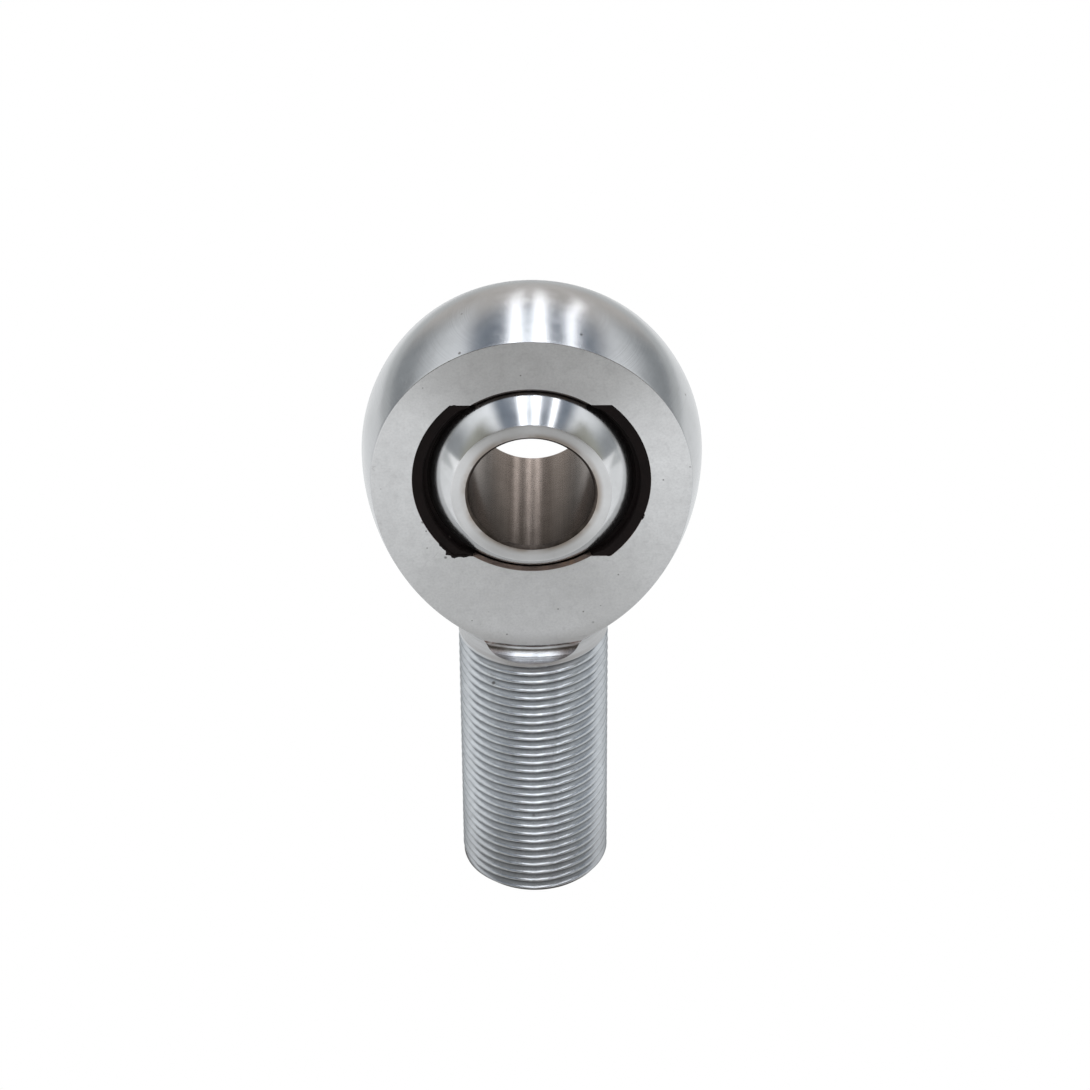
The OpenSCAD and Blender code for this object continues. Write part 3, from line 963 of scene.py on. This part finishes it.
def flash(s, rng):
    """The torn flap of plastic squeezed over the flat round the lower left corner of the ear."""
    arc = np.linspace(math.pi + 0.66, 2 * math.pi - math.pi / 2 - math.acos(SLOT_H / SLOT_R), 46)
    edge = np.stack([SLOT_R * np.cos(arc), SLOT_R * np.sin(arc)], -1)
    along = np.stack([np.linspace(edge[-1, 0], -12.9, 40)[1:], np.full(39, -SLOT_H)], -1)
    path = np.concatenate([edge, along], 0)
    run = np.concatenate([[0], np.cumsum(np.hypot(*np.diff(path, axis=0).T))])
    out = np.gradient(path, run, axis=0)
    out = np.stack([out[:, 1], -out[:, 0]], -1)
    out /= np.linalg.norm(out, axis=1)[:, None]
    out *= np.sign(np.sum(out * path, axis=1))[:, None]
    corner = run[len(edge) - 1]
    wide = 0.16 + 0.62 * np.exp(-((run - corner + 1.25) / 0.42) ** 2) + 0.30 * np.exp(-((run - corner - 0.2) / 0.7) ** 2) + 0.20 * np.exp(-((run - corner - 2.1) / 0.3) ** 2)
    jag = np.interp(run, np.linspace(0, run[-1], 34), rng.uniform(-0.09, 0.11, 34))
    fade = smooth(0, 0.5, run) * smooth(0, 0.5, run[-1] - run)
    wide = np.maximum(wide + jag, 0.04) * fade
    tall = (0.12 + np.interp(run, np.linspace(0, run[-1], 21), rng.uniform(0.0, 0.16, 21))) * (0.25 + 0.75 * fade)
    base = -FLAT - 0.004
    section = ((-0.30, 0.0), (-0.30, 0.75), (-0.05, 1.0), (0.45, 0.85), (0.85, 0.5), (1.0, 0.12), (0.9, 0.0))
    rows = []
    for k, h in section:
        step = np.where(k < 0, k, k * wide)
        p = path + out * step[:, None]
        rows.append(np.stack([p[:, 0], base - h * tall, p[:, 1]], -1))
    grid = np.stack(rows, 1)
    grid = np.concatenate([grid[:1].mean(1, keepdims=True).repeat(len(section), 1), grid, grid[-1:].mean(1, keepdims=True).repeat(len(section), 1)], 0)
    s.grid(grid, 0, close_v=True)


def crumb(s, x, y, z, size, rng):
    """A small ragged lump, flattened against the flat."""
    n_u, n_v = 12, 8
    u = np.linspace(0, 2 * math.pi, n_u, endpoint=False)
    v = np.linspace(0, math.pi, n_v)
    r = 1 + 0.35 * np.sin(u * 2 + rng.uniform(0, 6))[:, None] * np.sin(v)[None, :] + rng.normal(0, 0.05, (n_u, n_v))
    r[:, 0], r[:, -1] = 1, 1
    turn = rng.uniform(0, 6)
    px = np.cos(u)[:, None] * np.sin(v)[None, :] * r * size * 1.3
    pz = np.sin(u)[:, None] * np.sin(v)[None, :] * r * size * 0.7
    py = -np.broadcast_to(np.cos(v)[None, :], px.shape) * r * min(size * 0.35, 0.14)
    pts = np.stack([x + px * math.cos(turn) - pz * math.sin(turn), y + py, z + px * math.sin(turn) + pz * math.cos(turn)], -1)
    s.grid(pts, 0, close_u=True)


# ----------------------------------------------------------------------------
# The ball
# ----------------------------------------------------------------------------
def build_ball():
    s = Shape()
    seg = 256
    t = np.linspace(0, 2 * math.pi, seg + 1)[:-1]
    rim = math.sqrt(BALL_R ** 2 - BALL_W ** 2)
    e = 0.22
    prof = []                                   # radius, y, tag of the band that follows
    edge_a = math.asin((BALL_W - e) / BALL_R)
    for a in np.linspace(-edge_a, edge_a, 91):
        prof.append((BALL_R * math.cos(a), BALL_R * math.sin(a), 0))
    r1 = BALL_R * math.cos(edge_a)
    prof.append((rim - 0.02 + (r1 - rim) * 0.3, BALL_W - e * 0.25, 1))
    prof.append((rim - e, BALL_W, 1))
    for r in np.linspace(rim - e, BORE_R + BORE_CH + 0.06, 8)[1:]:
        prof.append((r, BALL_W, 1))
    prof[-1] = (prof[-1][0], BALL_W, 2)
    prof.append((BORE_R + BORE_CH - 0.02, BALL_W - 0.03, 2))
    prof.append((BORE_R + 0.04, BALL_W - BORE_CH + 0.02, 2))
    prof.append((BORE_R, BALL_W - BORE_CH - 0.05, 3))
    n_half = len(prof)
    for y in np.linspace(BALL_W - BORE_CH - 0.05, -(BALL_W - BORE_CH - 0.05), 25)[1:]:
        prof.append((BORE_R, y, 3))
    prof[-1] = (BORE_R, -(BALL_W - BORE_CH - 0.05), 2)
    prof.append((BORE_R + 0.04, -(BALL_W - BORE_CH + 0.02), 2))
    prof.append((BORE_R + BORE_CH - 0.02, -(BALL_W - 0.03), 2))
    prof.append((BORE_R + BORE_CH + 0.06, -BALL_W, 1))
    for r in np.linspace(rim - e, BORE_R + BORE_CH + 0.06, 8)[::-1][1:]:
        prof.append((r, -BALL_W, 1))
    prof.append((rim - 0.02 + (r1 - rim) * 0.3, -(BALL_W - e * 0.25), 0))
    p = np.array(prof, float)
    pts = np.stack([p[:, 0, None] * np.cos(t), np.broadcast_to(p[:, 1, None], (len(p), seg)), p[:, 0, None] * np.sin(t)], -1)
    for i in range(len(p)):
        j = (i + 1) % len(p)
        s.grid(np.stack([pts[i], pts[j]], 0), int(p[i, 2]), close_v=True)
    return s.build("ball_visual", [ball_chrome(), ball_side(), ball_chamfer(), ball_bore()], sharp_deg=28)


body = build_body()
race = build_race()
ball = build_ball()
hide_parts("rod_end_body")
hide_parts("molded_race")
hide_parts("ball")
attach(body, "rod_end")
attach(race, "rod_end")
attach(ball, "swivel_ball")

# The CAD nodes stay hidden, but each gets the finish of the piece that stands for it.
for node_name, piece in (("rod_end_body", body), ("molded_race", race), ("ball", ball)):
    ob = frame["nodes"][node_name]
    ob.data.materials.clear()
    ob.data.materials.append(piece.data.materials[0])

# ----------------------------------------------------------------------------
# Studio
# ----------------------------------------------------------------------------
scene = bpy.context.scene
scene.view_settings.view_transform = "Standard"
scene.view_settings.look = "None"
scene.view_settings.exposure = 0.0
scene.view_settings.gamma = 1.0

FLOOR_Z = body_lo.z - 0.0002
size = 6.0
mesh = bpy.data.meshes.new("studio_floor")
mesh.from_pydata([(-size, -size, FLOOR_Z), (size, -size, FLOOR_Z), (size, size, FLOOR_Z), (-size, size, FLOOR_Z)], [], [(0, 1, 2, 3)])
floor = bpy.data.objects.new("studio_floor", mesh)
scene.collection.objects.link(floor)
mesh.materials.append(studio_floor())

scene.world = bpy.data.worlds.new("studio_room")
studio_room(scene.world)


def area(name, loc, target, size_x, size_y, radiance, color=(1, 1, 1)):
    """A soft panel whose brightness is given as seen, not as watts."""
    data = bpy.data.lights.new(name, "AREA")
    data.shape = "RECTANGLE"
    data.size, data.size_y = size_x, size_y
    data.energy = radiance * math.pi * size_x * size_y
    data.color = color
    ob = bpy.data.objects.new(name, data)
    scene.collection.objects.link(ob)
    ob.location = loc
    ob.rotation_euler = (Vector(target) - Vector(loc)).to_track_quat("-Z", "Y").to_euler()
    ob.visible_camera = False
    return ob


area("overhead_panel", (0, 0.1, 1.6), (0, 0, 0), 0.5, 1.4, 0.25)

# ----------------------------------------------------------------------------
# Camera: the photograph's viewing angle
# ----------------------------------------------------------------------------
IN = 0.0254
elev = math.radians(33.26)
dist, tx, tz = 27.209 * IN, 0.107 * IN, -0.778 * IN
right = Vector((1, 0, 0))
up = Vector((0, math.sin(elev), math.cos(elev)))
fwd = Vector((0, math.cos(elev), -math.sin(elev)))
loc = right * tx + up * tz - fwd * dist
cam_fit = Matrix((
    (right.x, up.x, -fwd.x, loc.x),
    (right.y, up.y, -fwd.y, loc.y),
    (right.z, up.z, -fwd.z, loc.z),
    (0, 0, 0, 1),
))
turn = Matrix.Rotation(math.radians(-0.30), 4, "Y") @ Matrix.Rotation(math.radians(-0.09), 4, "Z")
cam_data = bpy.data.cameras.new("camera")
cam_data.sensor_width = 36.0
cam_data.lens = 3363.0 * 36.0 / 1090.0
cam_data.clip_start, cam_data.clip_end = 0.02, 50.0
cam = bpy.data.objects.new("camera", cam_data)
scene.collection.objects.link(cam)
cam.matrix_world = turn.inverted() @ cam_fit
scene.camera = cam

bpy.context.view_layer.update()
